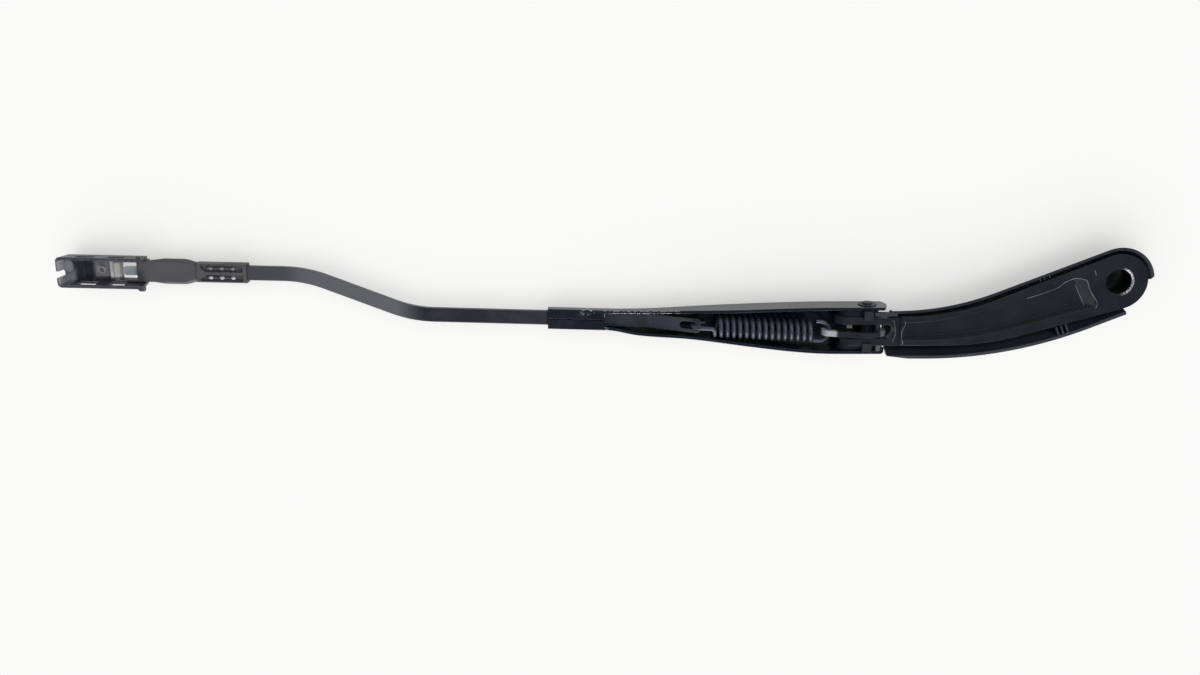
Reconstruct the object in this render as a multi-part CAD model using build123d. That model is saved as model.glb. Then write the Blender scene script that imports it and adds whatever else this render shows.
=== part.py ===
from build123d import *
import math
import os

# Front wiper arm, lying underside up. Millimetres.
# The origin is on the spindle bore's axis, at the mouth of the bore on the head's underside.
# +Z leaves the mouth towards the glass, and +X runs from the spindle towards the blade end.
# North is the -Y side of the arm and south the +Y side.

# Running and seating clearances
running_gap = 0.03
seat_gap = 0.02
side_gap = 0.3
rod_gap = 0.05

# Spindle head
bore_diameter = 14.0
bore_chamfer = 0.7
boss_radius = 16.0
boss_height = 13.0
head_draft = 19.0
head_north_reach = 9.4
head_south_reach = 7.7
head_north_slope = 22.2
head_south_slope = 16.0
head_north_bend = 125.0
head_south_bend = 150.0
head_beam_margin = 17.4
recess_depth = 2.8
recess_north = (
    (0.144, -0.4), (0.215, -1.2), (0.272, 2.8), (0.418, 9.8), (0.543, 14.5), (0.711, 20.0), (0.972, 24.0),
)
recess_south = ((0.987, 34.5), (0.760, 33.7), (0.529, 29.2), (0.331, 22.4), (0.095, 14.5))
recess_ramp = 6.4
recess_north_run = 0.8
recess_south_run = 2.4

# Knuckle, where the arm hinges on the head
pivot_x = 138.4
pivot_z = -10.5
knuckle_y = 29.7
pin_diameter = 7.0
tenon_diameter = 5.0
rivet_flange_diameter = 10.6
rivet_flange = 0.5
rivet_head_diameter = 5.8
rivet_head_height = 1.5
bush_wall = 1.0
bush_flange_reach = 11.5
bush_flange_radius = 6.0
bush_tab_back = 1.8
bush_tab_length = 5.2
bush_tab_rise = 0.8
bush_tab_lip = 1.4
fork_width = 16.4
fork_slot = 8.4
fork_top = 9.5
fork_radius = 6.5
fork_nose_north = 19.0
fork_nose_south = 15.6
fork_nose_round = 4.0
fork_root = 14.0
neck_floor = 3.2
neck_length = 34.0
stop_web_reach = 10.2
stop_web_length = 3.2
stop_web_top = 4.0

# Spring link and its anchor pin
anchor_back = 5.5
anchor_rise = 5.0
anchor_diameter = 3.5
link_thickness = 3.2
link_strip = 3.0
link_offset = 1.3
link_bow_rise = 6.5
link_bow_start = 3.6
link_bow_end = 10.6

# Folded channel
sheet = 1.7
channel_width = 27.6
channel_base_drop = 8.5
channel_rim_rise = 7.5
channel_end_radius = 11.0
channel_bend = 2.0
channel_straight = 17.6
channel_taper = 132.0
channel_north_taper = ((0.22, 0.12), (0.60, 0.61))
channel_south_taper = ((0.288, 0.243), (0.462, 0.495), (0.674, 0.686), (0.902, 0.816))
crimp_length = 34.0
crimp_seam = 0.5
crimp_mouth_round = 2.2
rim_slope_reach = 66.6
rim_slope_knee = (0.53, 0.55)
rim_slope_margin = 4.0

# Flat rod
rod_width = 8.3
rod_thickness = 3.4
rod_edge = 0.6
rod_bend = 70.0
rod_offset = 3.4
rod_lead = 8.0
rod_run = (120.1, -3.3)
rod_step = (61.1, -23.77)
rod_end_run = (32.6, -0.73)
rod_tip_depth = 27.0
tail_lead = 26.0
tail_length = 28.0
tail_offset = 1.9
tail_rise = 8.2
tail_slot_length = 9.0
tail_slot_width = 4.4
tail_slot_margin = 3.0
tail_slot_gap = 0.5
tail_corner = 2.6

# Extension spring
wire_diameter = 2.5
coil_diameter = 13.5
coil_pitch = 3.65
coil_turns = 15
hook_bend = 2.2
hook_tail = 2.0
rod_shank = 7.0
link_shank = 4.7

# Trim cover over the head
cover_wall = 1.8
cover_rim_z = -3.0
cover_draft = 21.0
cover_end_radius = 20.0
cover_end_x = -1.0
cover_end_y = 1.0
cover_north_reach = 11.9
cover_south_reach = 16.6
cover_north_slope = 21.9
cover_south_slope = 22.5
cover_north_bend = 150.0
cover_south_bend = 240.0
cover_crown = 25.5
cover_belly = 24.5
cover_open_depth = 16.4
cover_crown_stations = (-0.29, 0.0, 0.47, 1.19)
cover_round = 5.0
cover_gap = 0.7
cover_bevel = 1.5
notch_from = 112.0
notch_to = 174.0
notch_cut = 224.0
notch_floor = -14.5
grip_rib_thickness = 0.9
grip_rib_pitch = 2.7
grip_rib_depth = 4.0
grip_ribs = 3
rib_inset = 0.3
grip_north = (35.0, 1.2)
grip_south = (34.0, 6.0)
clip_reach = 8.9
clip_thickness = 2.0
clip_height = 2.6
post_radius = 0.9
post_height = 4.0

# Blade connector on the rod's tip
sleeve_length = 28.5
sleeve_wall = 1.35
sleeve_crown = 1.9
sleeve_edge = 1.0
pocket_width = 3.7
pocket_depth = 1.2
pocket_margin = 2.2
pocket_inner_end = 23.5
pocket_outer_end = 27.6
pocket_corner = 0.8
rib_half = 0.9
ridge_width = 1.0
stake_count = 3
stake_pitch = 6.4
neck_end = 47.5
plate_width = 12.0
plate_thickness = 1.8
plate_drop = 0.9
shoulder_width = 14.6
shoulder_bevel = 1.6
neck_thickness = 3.2

# Moulded housing round the connector plate
housing_start = 57.5
housing_end = 105.9
housing_draft = 5.0
housing_width = 17.8
housing_wall = 1.7
housing_floor = 1.6
housing_height = 12.5
housing_drop = 19.0
housing_corner = 2.6
side_window_height = 6.0
side_window_spans = ((68.7, 77.7), (85.2, 95.7))
window_start = 62.7
floor_window_length = 10.0
floor_window_width = 10.4
plate_end_margin = 3.0
end_notch_width = 4.0
end_notch_y = 1.4
end_tongue_radius = 3.5
end_tongue_inset = 1.2
peg_radius = 2.3
peg_wall = 0.9
peg_x = 83.5
foot_reach = 1.2
foot_height = 3.0

# Sprung lock tongue
tongue_width = 5.2
tongue_thickness = 0.7
tongue_root = 6.0
tongue_lift = 0.9

os.makedirs("parts", exist_ok=True)


def rise(point, z):
    """A plan point lifted to a height."""
    return (point[0], point[1], z)


def side_prism(profile, y_low, y_high):
    """A profile drawn in X and Z, given its thickness along Y."""
    plane = Plane(origin=(0, y_high, 0), x_dir=(1, 0, 0), z_dir=(0, -1, 0))
    return extrude(plane * profile, y_high - y_low, dir=(0, -1, 0))


def block(x_span, y_span, z_span):
    """A box given by its spans along X, Y and Z."""
    size = [high - low for low, high in (x_span, y_span, z_span)]
    middle = [(high + low) / 2 for low, high in (x_span, y_span, z_span)]
    return Pos(*middle) * Box(*size)


def cross_pin(x, z, y_span, diameter):
    """A round bar along Y."""
    length = y_span[1] - y_span[0]
    return Pos(x, (y_span[0] + y_span[1]) / 2, z) * Rot(90, 0, 0) * Cylinder(diameter / 2, length)


def beam_plan(spec, inset):
    """A round end that runs on into a curved beam. North and south give an edge's Y, slope and bend radius."""
    (round_x, round_y, radius), north, south, end_x = spec
    radius = radius - inset
    touches = []
    corners = []
    for (edge_y, slope, _), side in ((north, 1), (south, -1)):
        angle = math.radians(slope)
        touch = (round_x + side * radius * math.sin(angle), round_y - side * radius * math.cos(angle))
        level = edge_y + side * inset
        touches.append(touch)
        corners.append((touch[0] + (level - touch[1]) / math.tan(angle), level))
    back = math.radians(180 + (north[1] + south[1]) / 2)
    far_end = (round_x + radius * math.cos(back), round_y + radius * math.sin(back))
    north_end = (end_x, north[0] + inset)
    south_end = (end_x, south[0] - inset)
    return make_face([
        FilletPolyline(north_end, corners[0], touches[0], radius=north[2] + inset),
        ThreePointArc(touches[0], far_end, touches[1]),
        FilletPolyline(touches[1], corners[1], south_end, radius=south[2] - inset),
        Line(south_end, north_end),
    ])


def drafted_beam(spec, inset, top_z, depth, draft):
    """The beam's plan carried down from its top, drawn in by a draft on every side."""
    shrink = depth * math.tan(math.radians(draft))
    top = Pos(0, 0, top_z) * beam_plan(spec, inset)
    bottom = Pos(0, 0, top_z - depth) * beam_plan(spec, inset + shrink)
    return loft([top, bottom])


# Levels, faces and stations that several pieces share
head_beam_end = pivot_x - head_beam_margin
head_north_y = knuckle_y - head_north_reach
head_south_y = knuckle_y + head_south_reach
cover_north_y = knuckle_y - cover_north_reach
cover_south_y = knuckle_y + cover_south_reach
link_y = knuckle_y + link_offset
straight_end = pivot_x + channel_straight
crimp_start = straight_end + channel_taper
crimp_end = crimp_start + crimp_length
rim_slope_start = pivot_x + rim_slope_reach
rod_entry = (crimp_start - rod_lead, knuckle_y - rod_offset)
rod_first_bend = (rod_entry[0] + rod_run[0], rod_entry[1] + rod_run[1])
rod_second_bend = (rod_first_bend[0] + rod_step[0], rod_first_bend[1] + rod_step[1])
tip_x = rod_second_bend[0] + rod_end_run[0]
tip_y = rod_second_bend[1] + rod_end_run[1]
tail_start = crimp_start - tail_lead
tail_aim_y = knuckle_y - tail_offset
base_z = pivot_z - channel_base_drop
floor_z = base_z + sheet
rim_z = pivot_z + channel_rim_rise
wall_north = knuckle_y - channel_width / 2
wall_south = knuckle_y + channel_width / 2
fork_north = knuckle_y - fork_width / 2
fork_south = knuckle_y + fork_width / 2
slot_north = knuckle_y - fork_slot / 2
slot_south = knuckle_y + fork_slot / 2
bush_diameter = pin_diameter + 2 * running_gap + 2 * bush_wall
anchor_x = pivot_x - anchor_back
anchor_z = pivot_z + anchor_rise
link_span = (link_y - link_thickness / 2, link_y + link_thickness / 2)
rod_low = floor_z + rod_gap
rod_z = rod_low + rod_thickness / 2
rod_top = rod_low + rod_thickness
flange_z = rod_top + rod_gap + sheet
tail_slope = tail_rise / tail_length
hook_x = tail_start - tail_length + tail_slot_margin + wire_diameter / 2 + tail_slot_gap
spring_start = Vector(hook_x, tail_aim_y, rod_z + (tail_start - hook_x) * tail_slope)


def mounting_head():
    spec = (
        (0, 0, boss_radius),
        (head_north_y, head_north_slope, head_north_bend),
        (head_south_y, head_south_slope, head_south_bend),
        head_beam_end,
    )
    head = drafted_beam(spec, 0, 0, boss_height, head_draft)
    head += head_fork()
    head -= recess()
    bore = Cylinder(bore_diameter / 2, 2 * boss_height)
    mouth = Cone(bore_diameter / 2 + 2 * bore_chamfer, bore_diameter / 2, 2 * bore_chamfer)
    head -= bore
    head -= Rot(180, 0, 0) * mouth
    head -= Pos(0, 0, -boss_height) * mouth
    return head


def recess_outline(north_run, south_run):
    """Plan of the recess, with its two long sides drawn in."""
    north = [(x * head_beam_end, y + north_run) for x, y in recess_north]
    south = [(x * head_beam_end, y - south_run) for x, y in recess_south]
    return make_face([
        Spline(*north),
        Line(north[-1], south[0]),
        Spline(*south),
        Line(south[-1], north[0]),
    ])


def recess():
    """Recess on the underside of the beam: sloped long sides, and a ramp that rises to the boss."""
    floor = Pos(0, 0, -recess_depth) * recess_outline(recess_north_run, recess_south_run)
    hollow = loft([recess_outline(0, 0), floor], ruled=True)
    ramp_foot = recess_south[-1][0] * head_beam_end, recess_south[-1][1]
    ramp_head = recess_north[0][0] * head_beam_end, recess_north[0][1]
    turn = math.degrees(math.atan2(ramp_foot[1] - ramp_head[1], ramp_foot[0] - ramp_head[0])) - 90
    above_ramp = Polygon(
        (0, recess_depth), (0, 0), (recess_ramp, -recess_depth),
        (head_beam_end, -recess_depth), (head_beam_end, recess_depth),
        align=None,
    )
    kept = side_prism(above_ramp, -head_beam_end, head_beam_end)
    return hollow & Pos(*rise(ramp_head, 0)) * Rot(0, 0, turn) * kept


def fork_profile(nose):
    """Side view of one lug: a nose that stops against the channel, an eye round the pivot and the neck."""
    bottom = pivot_z - fork_radius
    top = pivot_z + fork_top
    nose_x = pivot_x + nose
    neck_z = pivot_z + neck_floor
    back_x = pivot_x - neck_length
    shoulder = -math.sqrt(fork_radius**2 - neck_floor**2)
    edges = [
        Line((back_x, top), (nose_x - fork_nose_round, top)),
        Line((nose_x - fork_nose_round, top), (nose_x, top - fork_nose_round)),
        Line((nose_x, top - fork_nose_round), (nose_x, bottom)),
        Line((nose_x, bottom), (pivot_x, bottom)),
        ThreePointArc(
            (pivot_x, bottom),
            (pivot_x - fork_radius * math.sin(math.pi / 4), pivot_z - fork_radius * math.cos(math.pi / 4)),
            (pivot_x + shoulder, neck_z),
        ),
        Line((pivot_x + shoulder, neck_z), (back_x, neck_z)),
        Line((back_x, neck_z), (back_x, top)),
    ]
    return make_face(edges)


def head_fork():
    """Two lugs with a slot between them, bored for the bushes and the anchor pin."""
    fork = side_prism(fork_profile(fork_nose_north), fork_north, knuckle_y)
    fork += side_prism(fork_profile(fork_nose_south), knuckle_y, fork_south)
    tall = (pivot_z - 2 * fork_top, pivot_z + 2 * fork_top)
    slot_end = pivot_x - fork_root + fork_slot / 2
    fork -= block((slot_end, pivot_x + 2 * fork_nose_north), (slot_north, slot_south), tall)
    fork -= Pos(slot_end, knuckle_y, pivot_z) * Cylinder(fork_slot / 2, tall[1] - tall[0])
    web_x = (pivot_x + stop_web_reach - stop_web_length / 2, pivot_x + stop_web_reach + stop_web_length / 2)
    web_z = (pivot_z - fork_radius, pivot_z + stop_web_top)
    fork += block(web_x, (slot_north - 1, link_span[0] - side_gap), web_z)
    through = (fork_north - 1, fork_south + 1)
    fork -= cross_pin(pivot_x, pivot_z, through, bush_diameter + 2 * seat_gap)
    fork -= cross_pin(anchor_x, anchor_z, through, anchor_diameter + 2 * seat_gap)
    return fork


def pivot_bush(side):
    """Flanged plastic bush: the barrel sits in a lug and the long flange slides on the channel wall."""
    if side < 0:
        lug = (fork_north, slot_north)
        flange = (wall_north + sheet + side_gap, fork_north)
    else:
        lug = (slot_south, fork_south)
        flange = (fork_south, wall_south - sheet - side_gap)
    outline = Pos(pivot_x + bush_flange_reach / 2, pivot_z) * SlotCenterToCenter(
        bush_flange_reach, 2 * bush_flange_radius
    )
    bush = side_prism(outline, *flange)
    bush += cross_pin(pivot_x, pivot_z, lug, bush_diameter)
    lug_top = pivot_z + fork_top
    tab_x = (pivot_x - bush_tab_back, pivot_x - bush_tab_back + bush_tab_length)
    lug_face = fork_north if side < 0 else fork_south
    lip_y = sorted((lug_face + side * seat_gap, lug_face - side * bush_tab_lip))
    bush += block(tab_x, flange, (pivot_z, lug_top + bush_tab_rise))
    bush += block(tab_x, lip_y, (lug_top + seat_gap, lug_top + bush_tab_rise))
    through = (min(lug[0], flange[0]) - 1, max(lug[1], flange[1]) + 1)
    return bush - cross_pin(pivot_x, pivot_z, through, pin_diameter + 2 * running_gap)


def pivot_rivet():
    """Shouldered rivet: its tenons pass through the channel walls and are peened over."""
    inside = (wall_north + sheet, wall_south - sheet)
    rivet = cross_pin(pivot_x, pivot_z, inside, pin_diameter)
    rivet += cross_pin(pivot_x, pivot_z, (wall_north, wall_south), tenon_diameter)
    for wall, side in ((wall_north, -1), (wall_south, 1)):
        span = sorted((wall, wall + side * rivet_head_height))
        cap = cross_pin(pivot_x, pivot_z, span, rivet_head_diameter)
        rim = cap.edges().group_by(Axis.Y)[0 if side < 0 else -1]
        rivet += fillet(rim, rivet_head_height / 3)
        flange = sorted((wall, wall + side * rivet_flange))
        rivet += cross_pin(pivot_x, pivot_z, flange, rivet_flange_diameter)
    return rivet


def spring_anchor_pin():
    return cross_pin(anchor_x, anchor_z, (fork_north + side_gap, fork_south - side_gap), anchor_diameter)


def spring_link():
    """C-shaped flat link: hooks behind the anchor pin, bows over the pivot and holds the spring's loop."""
    slope = math.atan2(spring_start.Z - anchor_z, spring_start.X - anchor_x)
    eye = anchor_diameter / 2 + running_gap + link_strip / 2
    relief = link_thickness**2 / (8 * spring_lengths()[2])
    grip = wire_diameter / 2 + relief + 4 * seat_gap + link_strip / 2
    reach = spring_loop_reach()
    bow_rise = link_bow_rise
    pen = [
        ThreePointArc(polar(eye, 245), polar(eye, 170), polar(eye, 95)),
        Line(polar(eye, 95), (link_bow_start, bow_rise)),
        Line((link_bow_start, bow_rise), (link_bow_end, bow_rise)),
        Line((link_bow_end, bow_rise), (reach, grip)),
        ThreePointArc((reach, grip), (reach + grip, 0), (reach + grip * 0.5, -grip * 0.866)),
    ]
    strip = trace(pen, link_strip)
    plate = side_prism(Rot(0, 0, math.degrees(slope)) * strip, *link_span)
    return Pos(anchor_x, 0, anchor_z) * plate


def polar(radius, degrees):
    angle = math.radians(degrees)
    return (radius * math.cos(angle), radius * math.sin(angle))


def spring_lengths():
    """Helix radius, loop radius, lead angle and the length between the two loops' tops."""
    radius = (coil_diameter - wire_diameter) / 2
    lead = math.atan2(coil_pitch, 2 * math.pi * radius)
    side_step = hook_bend * (1 - math.sin(lead))
    loop = math.hypot(radius, side_step)
    turn_in = math.atan2(side_step, radius)
    turns = coil_turns + 0.25 - 2 * turn_in / (2 * math.pi)
    coil = turns * coil_pitch
    return radius, lead, loop, turn_in, turns, coil


def spring_run():
    """The spring's length from loop to loop, and its run seen from the side."""
    _, _, loop, _, _, coil = spring_lengths()
    length = coil + rod_shank + link_shank + 2 * loop
    return length, math.sqrt(length**2 - (link_y - spring_start.Y) ** 2)


def spring_loop_reach():
    """Distance along the line of pull from the anchor pin to the wire of the spring's end loop."""
    return math.hypot(spring_start.X - anchor_x, spring_start.Z - anchor_z) - spring_run()[1]


def spring_hook(angle, level, sense, shank):
    """Wire from one end of the coil: a small bend, a shank along the axis and a half loop across it."""
    radius, lead, loop, _, _, _ = spring_lengths()
    out = Vector(math.cos(angle), math.sin(angle), 0)
    along = Vector(-math.sin(angle), math.cos(angle), 0) * sense
    axis = Vector(0, 0, sense)
    root = out * radius + Vector(0, 0, level)

    def on_bend(turn):
        sideways = along * (math.sin(turn) - math.sin(lead))
        outward = axis * (math.cos(lead) - math.cos(turn))
        return root + (sideways + outward) * hook_bend

    foot = on_bend(math.pi / 2)
    radial = Vector(foot.X, foot.Y, 0)
    centre = Vector(0, 0, level) + axis * shank
    path = [
        ThreePointArc(root, on_bend((lead + math.pi / 2) / 2), foot),
        Line(foot, centre + radial),
        ThreePointArc(centre + radial, centre + axis * loop, centre - radial),
        Line(centre - radial, centre - radial - axis * hook_tail),
    ]
    wire = Wire(path)
    section = Plane(origin=wire @ 0, z_dir=wire % 0) * Circle(wire_diameter / 2)
    return sweep(section, path=wire)


def tension_spring():
    """Close-wound extension spring. It is built along Z and then laid on its line of pull."""
    radius, _, loop, turn_in, turns, coil = spring_lengths()
    helix = Rot(0, 0, math.degrees(turn_in)) * Helix(coil_pitch, coil, radius)
    section = Plane(origin=helix @ 0, z_dir=helix % 0) * Circle(wire_diameter / 2)
    spring = sweep(section, path=helix, is_frenet=True)
    spring += spring_hook(turn_in, 0, -1, rod_shank)
    spring += spring_hook(turn_in + 2 * math.pi * turns, coil, 1, link_shank)
    length, run = spring_run()
    level = Vector(anchor_x - spring_start.X, 0, anchor_z - spring_start.Z).normalized()
    pull = level * (run / length) + Vector(0, (link_y - spring_start.Y) / length, 0)
    up = Vector(0, 0, 1) - pull * pull.Z
    place = Plane(origin=spring_start + pull * (loop + rod_shank), x_dir=up, z_dir=pull)
    return place.location * spring


def channel_plan(inset, end_x):
    """Plan of the channel between its walls' outer faces, or inset from them, as far as end_x."""
    half = rod_width / 2 + rod_gap + sheet - inset
    north = wall_north + inset
    south = wall_south - inset
    ends = [(1, 0), (1, crimp_grade)]
    crimp_y = rod_line_y(crimp_start)

    def tapered(edge_y, end_y, stations):
        drop = end_y - edge_y
        middle = [(straight_end + along * channel_taper, edge_y + share * drop) for along, share in stations]
        return Spline((straight_end, edge_y), *middle, (crimp_start, end_y), tangents=ends)

    north_side = tapered(north, crimp_y - half, channel_north_taper)
    south_side = tapered(south, crimp_y + half, channel_south_taper)
    back_x = pivot_x - 2 * channel_end_radius
    north_end = (end_x, rod_line_y(end_x) - half)
    south_end = (end_x, rod_line_y(end_x) + half)
    return make_face([
        north_side,
        Line(north_side @ 1, north_end),
        Line(north_end, south_end),
        Line(south_end, south_side @ 1),
        south_side,
        Line(south_side @ 0, (back_x, south)),
        Line((back_x, south), (back_x, north)),
        Line((back_x, north), north_side @ 0),
    ])


def rod_line_y(x):
    """Y of the rod's centre line on its straight run through the crimp."""
    return rod_entry[1] + (x - rod_entry[0]) * crimp_grade


crimp_grade = (rod_first_bend[1] - rod_entry[1]) / (rod_first_bend[0] - rod_entry[0])
crimp_place = Pos(rod_entry[0], rod_entry[1], 0) * Rot(0, 0, math.degrees(math.atan(crimp_grade)))


def arm_channel():
    """Folded sheet channel, open towards the glass, with its small end crimped round the rod."""
    shell = extrude(Pos(0, 0, base_z) * channel_plan(0, crimp_end), rim_z - base_z)
    slope_end = crimp_start - rim_slope_margin
    knee_x = rim_slope_start + rim_slope_knee[0] * (slope_end - rim_slope_start)
    knee_z = rim_z + rim_slope_knee[1] * (flange_z - rim_z)
    above = rim_z + sheet
    past_end = crimp_end + sheet
    flank = make_face([
        Spline((rim_slope_start, rim_z), (knee_x, knee_z), (slope_end, flange_z), tangents=[(1, 0), (1, 0)]),
        Line((slope_end, flange_z), (past_end, flange_z)),
        Line((past_end, flange_z), (past_end, above)),
        Line((past_end, above), (rim_slope_start, above)),
        Line((rim_slope_start, above), (rim_slope_start, rim_z)),
    ])
    shell -= side_prism(flank, wall_north - 5, wall_south + 5)
    crimp_span = (crimp_start - rod_entry[0], crimp_end - rod_entry[0])
    back_x = pivot_x - 2 * channel_end_radius
    low = shell.edges().filter_by(
        lambda e: abs(e.center().Z - base_z) < 0.01 and back_x + 1 < e.center().X < crimp_end - 1
    )
    shell = fillet(low, channel_bend)
    shell -= extrude(Pos(0, 0, floor_z) * channel_plan(sheet, crimp_start + 1), 2 * channel_width)
    cavity = rod_width / 2 + rod_gap
    beyond = crimp_span[1] + 5
    shell -= crimp_place * block((crimp_span[0] - 2, beyond), (-cavity, cavity), (floor_z, rod_top + rod_gap))
    seam = (-crimp_seam / 2, crimp_seam / 2)
    shell -= crimp_place * block((crimp_span[0], beyond), seam, (rod_z, flange_z + 1))
    mouth = block((crimp_span[0] - 3, crimp_span[0] + 1), (-cavity, cavity), (rod_z, flange_z + 1))
    shell -= crimp_place * fillet(mouth.edges().filter_by(Axis.Z).group_by(Axis.X)[-1], crimp_mouth_round)
    shell -= cross_pin(pivot_x, pivot_z, (wall_north - 2, wall_south + 2), tenon_diameter + 2 * seat_gap)
    behind = block((back_x - 1, pivot_x), (wall_north - 5, wall_south + 5), (base_z - 5, rim_z + 5))
    past_walls = (wall_north - channel_width, wall_south + channel_width)
    behind -= cross_pin(pivot_x, pivot_z, past_walls, 2 * channel_end_radius)
    return shell - behind


def arm_rod():
    """Flat bar: slotted tail bent up inside the channel, a straight run, an S-bend and the tip."""
    tail_grade = (tail_aim_y - rod_entry[1]) / (tail_start - tail_length - rod_entry[0])
    root = (tail_start, rod_entry[1] + (tail_start - rod_entry[0]) * tail_grade)
    tip_grade = (tip_y - rod_second_bend[1]) / (tip_x - rod_second_bend[0])
    end = (tip_x + rod_tip_depth, tip_y + rod_tip_depth * tip_grade)
    corners = [rise(p, rod_z) for p in (root, rod_entry, rod_first_bend, rod_second_bend, end)]
    path = FilletPolyline(*corners, radius=rod_bend)
    section = Plane(origin=path @ 0, x_dir=(0, 0, 1), z_dir=path % 0) * RectangleRounded(
        rod_thickness, rod_width, rod_edge
    )
    rod = sweep(section, path=path)
    half = rod_thickness / 2
    profile = Polygon(
        (2, -half), (0, -half), (-tail_length, tail_rise - half),
        (-tail_length, tail_rise + half), (0, half), (2, half),
        align=None,
    )
    tail = side_prism(profile, -rod_width / 2, rod_width / 2)
    ends = tail.edges().filter_by(Axis.Z).group_by(Axis.X)[0]
    tail = fillet(ends, tail_corner)
    slot_x = -tail_length + tail_slot_margin + tail_slot_length / 2
    slot = extrude(Pos(slot_x, 0, -tail_rise) * SlotOverall(tail_slot_length, tail_slot_width), 4 * tail_rise)
    tail -= slot
    rod += Pos(*rise(root, rod_z)) * Rot(0, 0, math.degrees(math.atan(tail_grade))) * tail
    return rod


def cover_form(inset):
    """Domed form of the cover, or the same form shrunk by its wall."""
    spec = (
        (cover_end_x, cover_end_y, cover_end_radius),
        (cover_north_y, cover_north_slope, cover_north_bend),
        (cover_south_y, cover_south_slope, cover_south_bend),
        pivot_x + channel_end_radius,
    )
    depth = cover_crown + 5
    form = drafted_beam(spec, inset, cover_rim_z, depth, cover_draft)
    depths = (cover_belly, cover_crown, cover_belly, cover_open_depth)
    stations = [share * pivot_x for share in cover_crown_stations]
    crown = Spline(*[(x, inset - deep) for x, deep in zip(stations, depths)])
    low = -2 * depth
    under = make_face([
        crown,
        Line(crown @ 1, (stations[-1], low)),
        Line((stations[-1], low), (stations[0], low)),
        Line((stations[0], low), crown @ 0),
    ])
    form -= side_prism(under, -3 * cover_end_radius, 3 * cover_south_y)
    bottom = form.faces().sort_by(Axis.Z)[0]
    form = fillet(bottom.edges(), cover_round - inset)
    if inset:
        form += extrude(Pos(0, 0, cover_rim_z) * beam_plan(spec, inset), 5)
    return form


def head_cover():
    """Moulded cover, open towards the head, with an open end at the knuckle and a notch beside the boss."""
    cover = cover_form(0) - cover_form(cover_wall)
    open_x = pivot_x - channel_end_radius - cover_gap
    beyond = (open_x, pivot_x + 2 * channel_end_radius)
    cover -= block(beyond, (-3 * cover_end_radius, 3 * cover_south_y), (-3 * cover_crown, cover_crown))
    bevel = Polygon(
        (open_x - 8 * cover_bevel, cover_south_y), (open_x, cover_south_y - cover_bevel),
        (open_x + 5, cover_south_y + 5), (open_x - 8 * cover_bevel, cover_south_y + 5),
        align=None,
    )
    cover -= extrude(Pos(0, 0, -2 * cover_crown) * bevel, 3 * cover_crown, dir=(0, 0, 1))
    far = 3 * cover_end_radius
    middle = polar(far * 1.4, (notch_from + notch_to) / 2)
    inner = polar(cover_end_radius - 2 * cover_wall, notch_to)
    slant = polar(far, notch_cut)
    outer = (inner[0] + slant[0], inner[1] + slant[1])
    notch = Polygon((0, 0), polar(far, notch_from), middle, outer, inner, align=None)
    cover -= extrude(Pos(0, 0, notch_floor) * notch, 2 * cover_crown, dir=(0, 0, 1))
    cover += grip_row(cover_north_slope, 1, *grip_north)
    cover += grip_row(cover_south_slope, -1, *grip_south)
    inner_y = cover_north_y + cover_wall
    clip_top = cover_rim_z + 1.5
    cover += block(
        (open_x - 4, open_x + clip_reach), (inner_y - clip_thickness / 2, inner_y + clip_thickness / 2),
        (clip_top - clip_height, clip_top),
    )
    post = Cylinder(post_radius, post_height, align=(Align.CENTER, Align.CENTER, Align.MAX))
    cover += Pos(open_x - post_radius, inner_y - cover_wall / 2, clip_top) * post
    return cover


def grip_row(slope, side, along, reach):
    """A row of thin ribs inside the cover's straight flank that steady the head."""
    radius = cover_end_radius - cover_wall
    angle = math.radians(slope)
    root = (cover_end_x + side * radius * math.sin(angle), cover_end_y - side * radius * math.cos(angle))
    ribs = []
    for number in range(grip_ribs):
        x = along + number * grip_rib_pitch
        span = sorted((side * rib_inset, side * reach))
        rib = block((0, grip_rib_thickness), span, (cover_rim_z - grip_rib_depth, cover_rim_z))
        ribs.append(Pos(x, 0, 0) * rib)
    return Pos(*root) * Rot(0, 0, slope) * Part(children=ribs)


# Frame of the tip: its X runs along the rod's last straight run, from the sleeve's open end
tip_angle = math.degrees(math.atan2(tip_y - rod_second_bend[1], tip_x - rod_second_bend[0]))
tip_place = Pos(tip_x, tip_y, 0) * Rot(0, 0, tip_angle)
sleeve_low = rod_low - rod_gap - sleeve_wall
sleeve_top = rod_top + rod_gap + sleeve_crown
plate_top = sleeve_top - plate_drop
plate_low = plate_top - plate_thickness
sleeve_half = rod_width / 2 + rod_gap + sleeve_wall
housing_low = -housing_drop
housing_rim = housing_low + housing_height
plate_end = window_start + floor_window_length + plate_end_margin


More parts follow.
